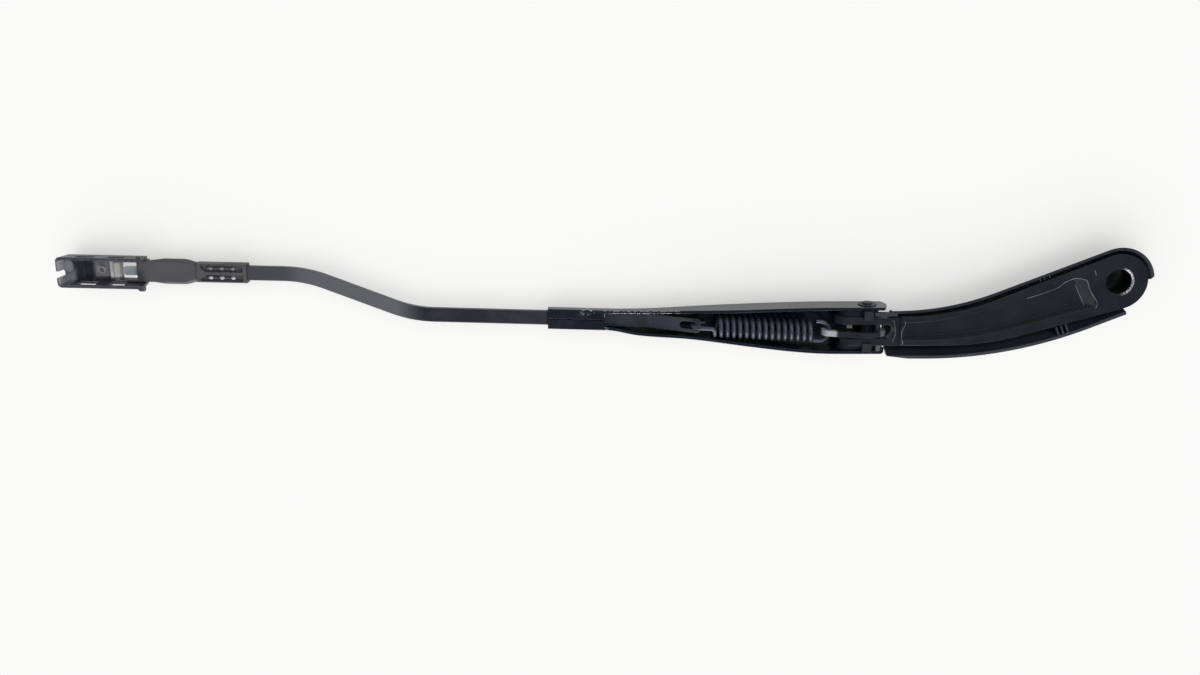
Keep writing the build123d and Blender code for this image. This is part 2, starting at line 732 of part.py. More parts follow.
def blade_connector():
    """Sleeve staked on the rod, a flared neck and a flat plate with a window for the lock tongue."""
    body = block((0, sleeve_length), (-sleeve_half, sleeve_half), (sleeve_low, sleeve_top))
    body = fillet(body.edges().filter_by(Axis.X), sleeve_edge)
    flare = sleeve_length + 8
    neck_plan = make_face([
        Spline((sleeve_length - 1, -sleeve_half), (flare, -shoulder_width / 2), tangents=[(1, 0), (1, 0)]),
        Line((flare, -shoulder_width / 2), (neck_end, -shoulder_width / 2)),
        Line((neck_end, -shoulder_width / 2), (housing_start - 1, -plate_width / 2)),
        Line((housing_start - 1, -plate_width / 2), (housing_start - 1, plate_width / 2)),
        Line((housing_start - 1, plate_width / 2), (neck_end, shoulder_width / 2)),
        Line((neck_end, shoulder_width / 2), (flare, shoulder_width / 2)),
        Spline((flare, shoulder_width / 2), (sleeve_length - 1, sleeve_half), tangents=[(-1, 0), (-1, 0)]),
        Line((sleeve_length - 1, sleeve_half), (sleeve_length - 1, -sleeve_half)),
    ])
    neck = extrude(Pos(0, 0, plate_top - neck_thickness) * neck_plan, neck_thickness)
    shoulders = neck.faces().sort_by(Axis.Z)[-1].edges().filter_by(lambda e: abs(e.center().Y) > 1)
    neck = chamfer(shoulders, shoulder_bevel)
    body += neck
    body += block((neck_end, plate_end), (-plate_width / 2, plate_width / 2), (plate_low, plate_top))
    window = (window_start, window_start + floor_window_length)
    body -= block(window, (-floor_window_width / 2, floor_window_width / 2), (plate_low - 1, plate_top + 1))
    cavity = rod_width / 2 + rod_gap
    body -= block((-1, rod_tip_depth + rod_gap), (-cavity, cavity), (rod_low - rod_gap, rod_top + rod_gap))
    for side in (-1, 1):
        middle = side * (rib_half + pocket_width / 2)
        inner = side * rib_half
        outer = side * (rib_half + pocket_width)
        pocket_plan = Polygon(
            (pocket_margin, inner), (pocket_margin, outer),
            (pocket_outer_end, outer), (pocket_inner_end, inner),
            align=None,
        )
        pocket_plan = fillet(pocket_plan.vertices(), pocket_corner)
        body -= extrude(Pos(0, 0, sleeve_top - pocket_depth) * pocket_plan, 2 * pocket_depth, dir=(0, 0, 1))
        for number in range(stake_count):
            stake_x = sleeve_length / 2 + (number - (stake_count - 1) / 2) * stake_pitch
            stake = Cone(pocket_width / 3, pocket_width / 6, pocket_depth)
            body += Pos(stake_x, middle, sleeve_top - pocket_depth / 2) * stake
        ridge_x = (0.22 * sleeve_length, 0.8 * sleeve_length)
        ridge_y = (middle - ridge_width / 2, middle + ridge_width / 2)
        body += block(ridge_x, ridge_y, (sleeve_top - 1.5 * pocket_depth, sleeve_top - pocket_depth / 2))
    return tip_place * body


def housing_tub(inset, low):
    """Drafted tub with rounded end corners, from its rim to a level. An inset one runs out at the open end."""
    half = housing_width / 2 - inset
    open_x = housing_start - 2 * inset
    end_x = housing_end - inset
    corner = housing_corner - inset / 2
    plan = make_face(
        FilletPolyline((open_x, -half), (end_x, -half), (end_x, half), (open_x, half), radius=corner)
        + Line((open_x, half), (open_x, -half))
    )
    tub = extrude(Pos(0, 0, housing_rim) * plan, housing_rim - low, dir=(0, 0, -1), taper=housing_draft)
    if inset:
        tub += extrude(Pos(0, 0, housing_rim) * plan, 1, dir=(0, 0, 1))
    return tub


def connector_housing():
    """Open moulded box that takes the blade: windows in its walls, a stepped floor and a notched end."""
    half = housing_width / 2
    lean = math.tan(math.radians(housing_draft))
    inner = half - housing_wall - (housing_rim - plate_low) * lean
    bed = housing_low + housing_floor
    shell = housing_tub(0, housing_low) - housing_tub(housing_wall, bed)
    step = (housing_end - housing_start) / 10
    ledge_x = housing_end - housing_wall - 2.2 * step
    shell += block((ledge_x, housing_end - 1), (-inner, inner), (bed - 0.5, plate_low - 1))
    shell += block((ledge_x - step, ledge_x), (-inner, inner), (bed - 0.5, plate_low - 2))
    seat = (window_start - 6, plate_end + 3)
    shell += block(seat, (-inner, inner), (bed - 0.5, plate_low))
    window = (window_start, window_start + floor_window_length)
    across = (-floor_window_width / 2, floor_window_width / 2)
    shell -= block(window, across, (housing_low - 1, plate_low + 1))
    middle_z = (bed + housing_rim) / 2 + 1
    tall = (middle_z - side_window_height / 2, middle_z + side_window_height / 2)
    for span in side_window_spans:
        shell -= block(span, (-half - 1, half + 1), tall)
    shell -= block(
        (housing_end - housing_wall - 1, housing_end + 1),
        (end_notch_y - end_notch_width / 2, end_notch_y + end_notch_width / 2),
        (plate_low - 1, housing_rim + 1),
    )
    clip_half = tongue_width / 2 + seat_gap
    clip_x = (window_start - tongue_root - seat_gap, window_start + 1)
    shell -= block(clip_x, (-clip_half, clip_half), (plate_low - tongue_thickness - seat_gap, plate_low + 1))
    tongue = Cylinder(end_tongue_radius, plate_top - bed, align=(Align.CENTER, Align.CENTER, Align.MIN))
    tongue_x = housing_end - housing_wall - end_tongue_radius + end_tongue_inset
    shell += Pos(tongue_x, -inner / 2 + end_tongue_inset, bed - 0.5) * tongue
    peg = Cylinder(peg_radius, plate_low - bed + 1, align=(Align.CENTER, Align.CENTER, Align.MIN))
    bottom = (Align.CENTER, Align.CENTER, Align.MIN)
    peg -= Pos(0, 0, 1) * Cylinder(peg_radius - peg_wall, housing_height, align=bottom)
    shell += Pos(peg_x, 0, bed - 0.5) * peg
    for side in (-1, 1):
        foot = Polygon(
            (housing_start - 0.5, side * (half - 1)), (housing_start - 0.5, side * (half + foot_reach)),
            (housing_start + 2, side * (half + foot_reach)), (housing_start + 4, side * (half - 1)),
            align=None,
        )
        shell += extrude(Pos(0, 0, housing_rim - foot_height) * foot, foot_height, dir=(0, 0, 1))
    return tip_place * shell


def lock_clip():
    """Sprung steel tongue: held under the plate at its root, free and slightly raised in the window."""
    root_x = window_start - tongue_root
    free_x = window_start + floor_window_length - 1.6
    top = plate_low
    across = (-tongue_width / 2, tongue_width / 2)
    strip = block((root_x, window_start), across, (top - tongue_thickness, top))
    profile = Polygon(
        (window_start, top - tongue_thickness), (free_x, top - tongue_thickness + tongue_lift),
        (free_x, top + tongue_lift), (window_start, top),
        align=None,
    )
    tongue = side_prism(profile, -tongue_width / 2, tongue_width / 2)
    tip = tongue.edges().filter_by(Axis.Z).group_by(Axis.X)[-1]
    tongue = fillet(tip, tongue_width / 2 - 0.2)
    return tip_place * (strip + tongue)


pieces = {
    "mounting_head": mounting_head(),
    "head_cover": head_cover(),
    "pivot_bush_north": pivot_bush(-1),
    "pivot_bush_south": pivot_bush(1),
    "spring_anchor_pin": spring_anchor_pin(),
    "spring_link": spring_link(),
    "tension_spring": tension_spring(),
    "pivot_rivet": pivot_rivet(),
    "arm_channel": arm_channel(),
    "arm_rod": arm_rod(),
    "blade_connector": blade_connector(),
    "connector_housing": connector_housing(),
    "lock_clip": lock_clip(),
}
for name, shape in pieces.items():
    export_step(shape, f"parts/{name}.step")
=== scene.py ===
# %% [markdown]
# # A wiper arm on a pale table
# The arm lies on its back, with the side that faces the glass turned up. Its hard parts come in as a fixed frame
# in metres, so this lesson is about finish: paint, cast and moulded skins, bare steel, wear, light and camera.
# The frame is loaded first, and its box is kept: the table is set just under it.

# %% Load the frame
import math

import bmesh
import bpy
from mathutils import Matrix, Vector
from mathutils.bvhtree import BVHTree


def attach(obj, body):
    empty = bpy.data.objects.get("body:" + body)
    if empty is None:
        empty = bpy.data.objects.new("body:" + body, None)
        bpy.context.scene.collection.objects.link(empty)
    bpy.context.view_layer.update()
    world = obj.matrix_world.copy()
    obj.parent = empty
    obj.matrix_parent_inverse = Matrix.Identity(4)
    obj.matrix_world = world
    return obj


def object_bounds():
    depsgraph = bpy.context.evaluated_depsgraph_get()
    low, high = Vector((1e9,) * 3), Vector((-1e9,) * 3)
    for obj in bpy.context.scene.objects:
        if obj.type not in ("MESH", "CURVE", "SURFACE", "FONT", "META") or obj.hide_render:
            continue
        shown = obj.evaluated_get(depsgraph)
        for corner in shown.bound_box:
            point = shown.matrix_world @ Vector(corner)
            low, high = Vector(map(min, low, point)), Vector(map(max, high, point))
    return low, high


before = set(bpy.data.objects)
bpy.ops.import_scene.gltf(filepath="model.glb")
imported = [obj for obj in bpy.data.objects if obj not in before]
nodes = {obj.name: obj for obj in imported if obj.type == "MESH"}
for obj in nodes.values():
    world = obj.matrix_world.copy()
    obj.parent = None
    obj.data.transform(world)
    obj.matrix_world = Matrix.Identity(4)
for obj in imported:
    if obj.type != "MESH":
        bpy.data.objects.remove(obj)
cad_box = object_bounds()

print("pieces:", len(nodes), "box:", [tuple(round(v, 4) for v in corner) for corner in cad_box])

# %% [markdown]
# ## Small helpers for shader trees
# Every finish below is a tree of nodes. A few helpers keep the cells short: one adds a node and fills or links its
# inputs by name, and the others do arithmetic, a soft step and a mix of two colours. Nodes could be placed by hand
# in the editor instead, but in code the same finish can be given to several pieces with other values. A Mix node
# keeps sockets for every kind of data, and several share a name, so its inputs are found by their position.

# %% Node helpers
MIX_NUMBERS, MIX_COLOURS, MIXED_NUMBER, MIXED_COLOUR = (2, 3), (6, 7), 0, 2


def put(tree, kind, settings=None, **inputs):
    """Adds a node, sets its options and fills or links its inputs."""
    made = tree.nodes.new("ShaderNode" + kind)
    for name, value in (settings or {}).items():
        setattr(made, name, value)
    for name, value in inputs.items():
        join(tree, made.inputs[name.replace("_", " ")], value)
    return made


def join(tree, socket, value):
    """Links a socket, or sets the number or colour on it."""
    if isinstance(value, bpy.types.NodeSocket):
        tree.links.new(value, socket)
    else:
        socket.default_value = value


def sums(tree, operation, first, second=0.0, clamp=False):
    """One step of arithmetic on two values."""
    made = put(tree, "Math", {"operation": operation, "use_clamp": clamp})
    join(tree, made.inputs[0], first)
    join(tree, made.inputs[1], second)
    return made.outputs[0]


def times(tree, first, *others):
    """The product of masks and numbers."""
    product = first
    for other in others:
        product = sums(tree, "MULTIPLY", product, other)
    return product


def ramp(tree, value, start, end, low=0.0, high=1.0):
    """A soft step: low before start, high after end."""
    made = put(tree, "MapRange", {"interpolation_type": "SMOOTHSTEP"}, Value=value)
    for socket, number in zip(list(made.inputs)[1:5], (start, end, low, high)):
        join(tree, socket, number)
    return made.outputs[0]


def tint(tree, factor, first, second):
    """Mixes two colours by a mask. A colour is a socket or three numbers."""
    made = put(tree, "Mix", {"data_type": "RGBA"})
    join(tree, made.inputs["Factor"], factor)
    for position, colour in zip(MIX_COLOURS, (first, second)):
        join(tree, made.inputs[position], (*colour, 1.0) if isinstance(colour, tuple) else colour)
    return made.outputs[MIXED_COLOUR]


print("node helpers ready")

# %% [markdown]
# ## Helpers for places on a piece
# Wear and dirt sit at certain places, so most masks start from where a point is on its piece. Object coordinates
# give that in metres, and they stay with the piece when the arm is opened. A soft-edged box of such coordinates marks
# one patch. The object's own normals tell whether a face looks up, which a picture-based mask could not do as simply.

# %% Place helpers
def place(tree):
    """The Object coordinates."""
    return put(tree, "TexCoord").outputs["Object"]


def axis(tree, name):
    """One of the three Object coordinates."""
    return put(tree, "SeparateXYZ", Vector=place(tree)).outputs[name]


def facing_up(tree):
    """How far a face looks up: 1 is up, 0 is upright, -1 is down."""
    return put(tree, "SeparateXYZ", Vector=put(tree, "TexCoord").outputs["Normal"]).outputs["Z"]


def region(tree, spans, soft):
    """A soft-edged box: one span, in metres, for each of the given axes."""
    mask = 1.0
    for name, (low, high) in spans.items():
        value = axis(tree, name)
        inside = times(tree, ramp(tree, value, low - soft, low + soft), ramp(tree, value, high + soft, high - soft))
        mask = times(tree, inside, mask)
    return mask


def noise(tree, scale, detail, rough, spot=None):
    """A noise texture on the Object coordinates, or on a given vector."""
    vector = place(tree) if spot is None else spot
    return put(tree, "TexNoise", Vector=vector, Scale=scale, Detail=detail, Roughness=rough).outputs["Fac"]


print("place helpers ready")

# %% [markdown]
# ## An effect that several finishes share: worn edges
# Paint and moulded plastic go thin and pale on outer edges first. Mesh pointiness needs joined vertices, and these
# pieces are loose triangles, so the mask comes from an Ambient Occlusion node turned inside: short rays sent into
# the body hit a neighbouring wall only near an outer edge. Noise breaks the line up, as handling does. The effect is
# a node group, so every finish can place it with its own reach and cover.

# %% Node group: worn edges
EDGE_FROM, EDGE_FULL = 0.92, 0.55
PATCH_LIMIT, COVER_SHARE, PATCH_SOFT = 0.85, 0.6, 0.12


def new_group(name, takes, gives):
    """An empty node group with named inputs and outputs."""
    group = bpy.data.node_groups.new(name, "ShaderNodeTree")
    for label, number in takes.items():
        socket = group.interface.new_socket(label, in_out="INPUT", socket_type="NodeSocketFloat")
        socket.default_value = number
    for label, kind in gives.items():
        group.interface.new_socket(label, in_out="OUTPUT", socket_type="NodeSocket" + kind)
    return group, group.nodes.new("NodeGroupInput").outputs, group.nodes.new("NodeGroupOutput").inputs


worn_edges, takes, gives = new_group(
    "worn_edges", {"Reach": 0.0005, "Patch Scale": 400.0, "Cover": 0.5}, {"Mask": "Float"})
inward = put(worn_edges, "AmbientOcclusion", {"inside": True, "only_local": True, "samples": 4},
             Distance=takes["Reach"]).outputs["AO"]
edge = ramp(worn_edges, inward, EDGE_FROM, EDGE_FULL)
patch = noise(worn_edges, takes["Patch Scale"], 4.0, 0.65)
bare_from = sums(worn_edges, "SUBTRACT", PATCH_LIMIT, times(worn_edges, takes["Cover"], COVER_SHARE))
patches = ramp(worn_edges, patch, bare_from, sums(worn_edges, "ADD", bare_from, PATCH_SOFT))
join(worn_edges, gives["Mask"], times(worn_edges, edge, patches))
print("group:", worn_edges.name)

# %% [markdown]
# ## A second shared effect: the skin
# No coated or moulded surface is a perfect plane. This group gives a fine grain as height for a Bump node, and a
# slow cloud that varies colour and gloss over some centimetres. A Bevel node rounds the shading of each sharp edge
# by a fraction of a millimetre, so that edges catch a thin line of light, as pressed and cast ones do.

# %% Node group: skin
CLOUD_SPAN = (0.25, 0.75)
skin, takes, gives = new_group(
    "skin", {"Grain Scale": 2500.0, "Grain Depth": 0.00002, "Edge Round": 0.0003, "Cloud Scale": 60.0},
    {"Normal": "Vector", "Cloud": "Float"})
grain = noise(skin, takes["Grain Scale"], 3.0, 0.6)
cloud = noise(skin, takes["Cloud Scale"], 5.0, 0.6)
rounded = put(skin, "Bevel", {"samples": 4}, Radius=takes["Edge Round"]).outputs["Normal"]
bumped = put(skin, "Bump", Height=grain, Distance=takes["Grain Depth"], Normal=rounded, Strength=1.0)
join(skin, gives["Normal"], bumped.outputs["Normal"])
join(skin, gives["Cloud"], ramp(skin, cloud, *CLOUD_SPAN))
print("group:", skin.name)

# %% [markdown]
# ## A third shared effect: settled dust
# Dust gathers on faces that look up. The mask takes the surface direction from the object's own normals, so it stays
# in place when the arm is opened. A film of noise makes it uneven, and a few cells of a Voronoi texture, chosen by
# their random colour, become sparse specks of lint.

# %% Node group: dust
UP_SPAN, FILM_SPAN, FILM_SHARE = (0.2, 0.95), (0.42, 0.8), 0.35
SPECK_SIZE, SPECK_CHOICE = (0.16, 0.05), (0.86, 0.9)
dust, takes, gives = new_group("dust", {"Amount": 0.3, "Speck Scale": 900.0}, {"Mask": "Float"})
upward = ramp(dust, facing_up(dust), *UP_SPAN)
film = times(dust, ramp(dust, noise(dust, 140.0, 6.0, 0.7), *FILM_SPAN), FILM_SHARE)
specks = put(dust, "TexVoronoi", {"feature": "F1"}, Vector=place(dust), Scale=takes["Speck Scale"]).outputs
chance = put(dust, "SeparateXYZ", Vector=specks["Color"]).outputs["X"]
lint = times(dust, ramp(dust, specks["Distance"], *SPECK_SIZE), ramp(dust, chance, *SPECK_CHOICE))
settled = sums(dust, "ADD", film, lint, clamp=True)
join(dust, gives["Mask"], times(dust, settled, upward, takes["Amount"]))
print("group:", dust.name)

# %% [markdown]
# ## Two small shared masks: sides and brush lines
# One group marks every face that doesn't look up. The finishes use it for painted light and shade: upright faces are
# made darker as painted shade on the rod, the connector and the housing, and greyer as painted light on the head's
# flanks. Drawn and ground steel has fine lines along one way: noise on coordinates that are stretched much more
# across the lines than along them.

# %% Node groups: sides and brush lines
LINE_SPAN, LINE_STRENGTH = (0.45, 0.75), 0.5
sides, takes, gives = new_group("sides", {"From": 0.5, "Full": 0.2}, {"Mask": "Float"})
join(sides, gives["Mask"], ramp(sides, facing_up(sides), takes["From"], takes["Full"]))

brush_lines, takes, gives = new_group(
    "brush_lines", {"Scale X": 1000.0, "Scale Y": 1000.0, "Scale Z": 1000.0}, {"Mask": "Float"})
stretch = put(brush_lines, "CombineXYZ", X=takes["Scale X"], Y=takes["Scale Y"], Z=takes["Scale Z"])
stretched = put(brush_lines, "Mapping", Vector=place(brush_lines), Scale=stretch.outputs["Vector"])
brush = noise(brush_lines, 1.0, 4.0, 0.6, stretched.outputs["Vector"])
join(brush_lines, gives["Mask"], ramp(brush_lines, brush, *LINE_SPAN, 0.0, LINE_STRENGTH))
print("groups:", sides.name, brush_lines.name)

# %% [markdown]
# ## One pattern for all finishes
# Each finish starts from the same plan: a base colour varied by the cloud, a worn colour that shows through at the
# edges, a dust tone over both, and roughness that follows the cloud and the dust. A function writes that plan into a
# new material. It gives back the tree and the shader, so that a finish can add what only it has, such as chips.

# %% Start of a finish
DUST_TONE, DUST_DULLS = (0.22, 0.222, 0.235), 0.4


def use(tree, group, **inputs):
    """Places a shared group in a material."""
    made = tree.nodes.new("ShaderNodeGroup")
    made.node_tree = group
    for name, value in inputs.items():
        join(tree, made.inputs[name.replace("_", " ")], value)
    return made.outputs


def start_finish(name, low, high, rough, level, grain, edge_round, wear, dusty, worn, metal=0.0):
    """A material with varied colour, worn edges and dust; grain is (scale, depth) and wear is (reach, cover)."""
    made = bpy.data.materials.new(name)
    made.use_nodes = True
    tree = made.node_tree
    shader = tree.nodes["Principled BSDF"]
    shader.inputs["Specular IOR Level"].default_value = level
    shader.inputs["Metallic"].default_value = metal
    surface = use(tree, skin, Grain_Scale=grain[0], Grain_Depth=grain[1], Edge_Round=edge_round)
    bare = use(tree, worn_edges, Reach=wear[0], Cover=wear[1])["Mask"]
    film = use(tree, dust, Amount=dusty)["Mask"]
    colour = tint(tree, surface["Cloud"], low, high)
    colour = tint(tree, bare, colour, worn)
    colour = tint(tree, film, colour, DUST_TONE)
    gloss = ramp(tree, surface["Cloud"], 0.0, 1.0, *rough)
    gloss = sums(tree, "ADD", gloss, times(tree, film, DUST_DULLS), clamp=True)
    join(tree, shader.inputs["Base Color"], colour)
    join(tree, shader.inputs["Roughness"], gloss)
    join(tree, shader.inputs["Normal"], surface["Normal"])
    return made, tree, shader


print("finish plan ready")

# %% [markdown]
# ## Laying patches over a finish
# A rubbed spot or a chip replaces what lies under it. So a patch takes whatever already feeds a socket of the shader
# and mixes it, by its mask, with its own colour or number. Patches laid later cover earlier ones, as in painting.

# %% Patches, and giving a finish to a piece
def over(tree, socket, mask, value):
    """Lays a number over what already feeds a socket, where the mask is white."""
    was = socket.links[0].from_socket if socket.links else socket.default_value
    made = put(tree, "Mix", {"data_type": "FLOAT"})
    join(tree, made.inputs["Factor"], mask)
    for position, number in zip(MIX_NUMBERS, (was, value)):
        join(tree, made.inputs[position], number)
    join(tree, socket, made.outputs[MIXED_NUMBER])


def stain(tree, shader, mask, colour, strength=1.0):
    """Lays a colour over the base colour, where the mask is white."""
    socket = shader.inputs["Base Color"]
    was = socket.links[0].from_socket
    join(tree, socket, tint(tree, times(tree, mask, strength), was, colour))


def wear_it(finish, *names):
    """Gives a finish to CAD nodes."""
    for name in names:
        node = nodes[name]
        node.data.materials.clear()
        node.data.materials.append(finish)
    print(finish.name, "->", ", ".join(names))


print("patches ready")

# %% [markdown]
# ## The cast head
# The head is a die casting in satin blue-black. Its bore is rubbed bright on the side that the spindle bears on, so
# a bare crescent is laid over the paint there: a speckled ring round the bore's axis, cut to one half by the X
# coordinate. The casting's upright flanks get a greyer colour from the sides mask: painted light, so that the less
# lit flanks look as bright as the top. The web that stops the arm at the knuckle is struck bare.

# %% Finish: cast head
RING_STARTS, RING_ENDS, RUBBED_SIDE = (0.00702, 0.00716), (0.0086, 0.0077), (-0.001, -0.0045)
RUB_SPECKS, OUTSIDE_BORE = (0.40, 0.54), (0.0074, 0.0080)
STOP_WEB = {"X": (0.1466, 0.1506), "Y": (0.0240, 0.0293), "Z": (-0.0072, -0.0055)}
head_black, tree, shader = start_finish(
    "head_black", low=(0.0048, 0.0060, 0.0100), high=(0.0075, 0.0090, 0.0140), rough=(0.36, 0.46), level=0.34,
    grain=(2200.0, 0.000008), edge_round=0.0005, wear=(0.0006, 0.35), dusty=0.04, worn=(0.10, 0.105, 0.115))
x, y = axis(tree, "X"), axis(tree, "Y")
from_axis = sums(tree, "SQRT", sums(tree, "ADD", times(tree, x, x), times(tree, y, y)))
ring = times(tree, ramp(tree, from_axis, *RING_STARTS), ramp(tree, from_axis, *RING_ENDS))
specks = ramp(tree, noise(tree, 1300.0, 3.0, 0.7), *RUB_SPECKS)
crescent = times(tree, ring, specks, ramp(tree, x, *RUBBED_SIDE))
stain(tree, shader, crescent, (0.66, 0.66, 0.67))
over(tree, shader.inputs["Metallic"], crescent, 0.3)
# Painted light: upright flanks away from the bore are made greyer, so that they look as lit as the top.
flank_painted_light = times(tree, use(tree, sides)["Mask"], ramp(tree, from_axis, *OUTSIDE_BORE))
stain(tree, shader, flank_painted_light, (0.036, 0.039, 0.049), strength=0.8)
stain(tree, shader, region(tree, STOP_WEB, soft=0.0004), (0.42, 0.42, 0.43))
wear_it(head_black, "mounting_head")

# %% [markdown]
# ## The moulded cover and bushes
# The cover is black plastic with a fine spark-eroded grain. It is a little greyer than the head and hardly worn. Its
# hollow inside is made paler where the direction of the surface and its depth pick it out: partly a film of road
# dust, partly painted light that lifts the shade in the hollow. The film stops short of the bore, so that no pale
# floor shows through it. The top of the cover's rim is made lighter as a painted highlight. The bushes are plain
# moulded plastic.

# %% Finish: cover and bushes
FILM_FACES, FILM_DEPTH, FILM_STARTS = (0.2, 0.8), (-0.004, -0.007), (0.006, 0.012)
RIM_FACES, RIM_HEIGHT = (0.5, 0.9), (-0.0042, -0.0034)
PLASTIC_WORN = (0.06, 0.062, 0.068)
cover_black, tree, shader = start_finish(
    "cover_black", low=(0.016, 0.0175, 0.0235), high=(0.022, 0.024, 0.031), rough=(0.42, 0.54), level=0.4,
    grain=(3200.0, 0.00001), edge_round=0.0003, wear=(0.0004, 0.2), dusty=0.15, worn=PLASTIC_WORN)
up, x, z = facing_up(tree), axis(tree, "X"), axis(tree, "Z")
# Partly dust and partly painted light: the hollow inside is made paler, which lifts its shade.
inner_dust_and_painted_light = times(tree, ramp(tree, up, *FILM_FACES), ramp(tree, z, *FILM_DEPTH), ramp(tree, x, *FILM_STARTS))
stain(tree, shader, inner_dust_and_painted_light, (0.095, 0.10, 0.117))
# Painted highlight: the top of the cover's rim is made lighter.
rim_painted_highlight = times(tree, ramp(tree, up, *RIM_FACES), ramp(tree, z, *RIM_HEIGHT))
stain(tree, shader, rim_painted_highlight, (0.048, 0.051, 0.059), strength=0.5)
wear_it(cover_black, "head_cover")
bush_black = start_finish(
    "bush_black", low=(0.008, 0.0088, 0.0115), high=(0.012, 0.0128, 0.0155), rough=(0.5, 0.62), level=0.4,
    grain=(2600.0, 0.000008), edge_round=0.0003, wear=(0.0004, 0.3), dusty=0.1, worn=PLASTIC_WORN)[0]
wear_it(bush_black, "pivot_bush_north", "pivot_bush_south")

# %% [markdown]
# ## Gloss paint on the channel, with chips
# The channel is sheet steel under gloss paint. Where the crimp was pressed shut, paint has flaked off along the rim
# and at the two corners of the crimp's mouth, and a few nicks lie on the crimp itself. The chips are patches of
# noise, let through only near an edge and only at those places. A chip is bare metal, so colour, metallic and
# roughness all change there.

# %% Finish: channel
CHIPPED_RIM = {"X": (0.246, 0.2905), "Y": (0.010, 0.0245)}
MOUTH_X, MOUTH_CORNERS = (0.2868, 0.2918), ((0.0165, 0.0212), (0.0302, 0.0325))
NICKED_DEPTH, NICKED_SPOT = {"Z": (-0.020, -0.0095)}, {"X": (0.2955, 0.3025), "Y": (0.0185, 0.0225)}
RIM_FLAKES, MOUTH_FLAKES, NICKS = (0.43, 0.52), (0.40, 0.50), (0.56, 0.60)
channel_black, tree, shader = start_finish(
    "channel_black", low=(0.0060, 0.0090, 0.0142), high=(0.0090, 0.0122, 0.0182), rough=(0.16, 0.26), level=0.40,
    grain=(900.0, 0.000005), edge_round=0.0004, wear=(0.0005, 0.3), dusty=0.15, worn=(0.09, 0.095, 0.10))
flakes = noise(tree, 700.0, 3.0, 0.7)
near_edge = use(tree, worn_edges, Reach=0.0007, Patch_Scale=160.0, Cover=1.2)["Mask"]
chips = times(tree, ramp(tree, flakes, *RIM_FLAKES), near_edge, region(tree, CHIPPED_RIM, soft=0.001))
for corner in MOUTH_CORNERS:
    mouth = times(tree, near_edge, region(tree, {"X": MOUTH_X, "Y": corner}, soft=0.0006))
    chips = sums(tree, "MAXIMUM", chips, times(tree, mouth, ramp(tree, flakes, *MOUTH_FLAKES)))
nicks = times(tree, ramp(tree, flakes, *NICKS), region(tree, NICKED_DEPTH, soft=0.0005),
              region(tree, NICKED_SPOT, soft=0.0012))
chips = sums(tree, "MAXIMUM", chips, nicks)
stain(tree, shader, chips, (0.62, 0.61, 0.58))
over(tree, shader.inputs["Metallic"], chips, 0.7)
over(tree, shader.inputs["Roughness"], chips, 0.4)
wear_it(channel_black, "arm_channel")

# %% [markdown]
# ## The rod
# The rod is a flat steel bar in satin paint. Over its S-bend it is made pale as a painted highlight, where the bend
# catches the light; its tip by the connector is in between, and its tail inside the channel is greyed. Soft steps
# along X make those changes, and each one covers the one before. The sides of the bar are made darker as painted
# shade.

# %% Finish: rod
BEND_STARTS, TIP_STARTS, TAIL = (0.392, 0.412), (0.458, 0.476), {"X": (0.232, 0.264)}
rod_black, tree, shader = start_finish(
    "rod_black", low=(0.016, 0.017, 0.021), high=(0.024, 0.025, 0.030), rough=(0.3, 0.42), level=0.5,
    grain=(2200.0, 0.000006), edge_round=0.0006, wear=(0.0006, 0.45), dusty=0.15, worn=(0.14, 0.14, 0.145))
x = axis(tree, "X")
# Painted highlight: the S-bend is made paler where it catches the light; the tip and the tail get tones of their own.
stain(tree, shader, ramp(tree, x, *BEND_STARTS), (0.160, 0.157, 0.155), strength=0.85)
stain(tree, shader, ramp(tree, x, *TIP_STARTS), (0.060, 0.059, 0.071), strength=0.8)
stain(tree, shader, region(tree, TAIL, soft=0.002), (0.045, 0.050, 0.060), strength=0.8)
# Painted shade: the bar's upright sides are made darker.
stain(tree, shader, use(tree, sides)["Mask"], (0.008, 0.0085, 0.011), strength=0.85)
wear_it(rod_black, "arm_rod")

# %% [markdown]
# ## The connector
# The connector is coated steel, flat and a little brown, with stakes where it was hammered onto the rod. They are
# bare metal with a painted highlight, and stand at an even pitch, so a Ping-Pong step along X finds them all; the row
# nearer the window gets a stronger painted highlight. The connector's upright sides are made darker as painted shade.
# The end of its plate, under the blade's adaptor, is rubbed bare, and made lighter still as painted light against the
# housing's shade.

# %% Finish: connector
FIRST_STAKE, STAKE_PITCH, STAKE_RADIUS, STAKE_SOFT = 0.50165, 0.0064, 0.0011, 0.0003
STAKE_ROWS = {"north": ((-0.0057, -0.0033), 0.3), "south": ((-0.0002, 0.0022), 0.95)}
STAKE_X, STAKE_Z = (0.5, 0.516), (-0.0130, -0.0117)
PLATE_END = {"X": (0.5650, 0.5704), "Y": (-0.0080, 0.0004)}
connector_grey, tree, shader = start_finish(
    "connector_grey", low=(0.086, 0.080, 0.080), high=(0.112, 0.105, 0.105), rough=(0.4, 0.55), level=0.5,
    grain=(2400.0, 0.000006), edge_round=0.0005, wear=(0.0006, 0.5), dusty=0.15, worn=(0.18, 0.18, 0.18))
# Painted shade: the connector's upright sides are made darker.
stain(tree, shader, use(tree, sides)["Mask"], (0.012, 0.012, 0.014), strength=0.85)
from_first = sums(tree, "SUBTRACT", axis(tree, "X"), FIRST_STAKE)
beside = sums(tree, "PINGPONG", from_first, STAKE_PITCH / 2.0)
on_stake = ramp(tree, beside, STAKE_RADIUS + STAKE_SOFT, STAKE_RADIUS)
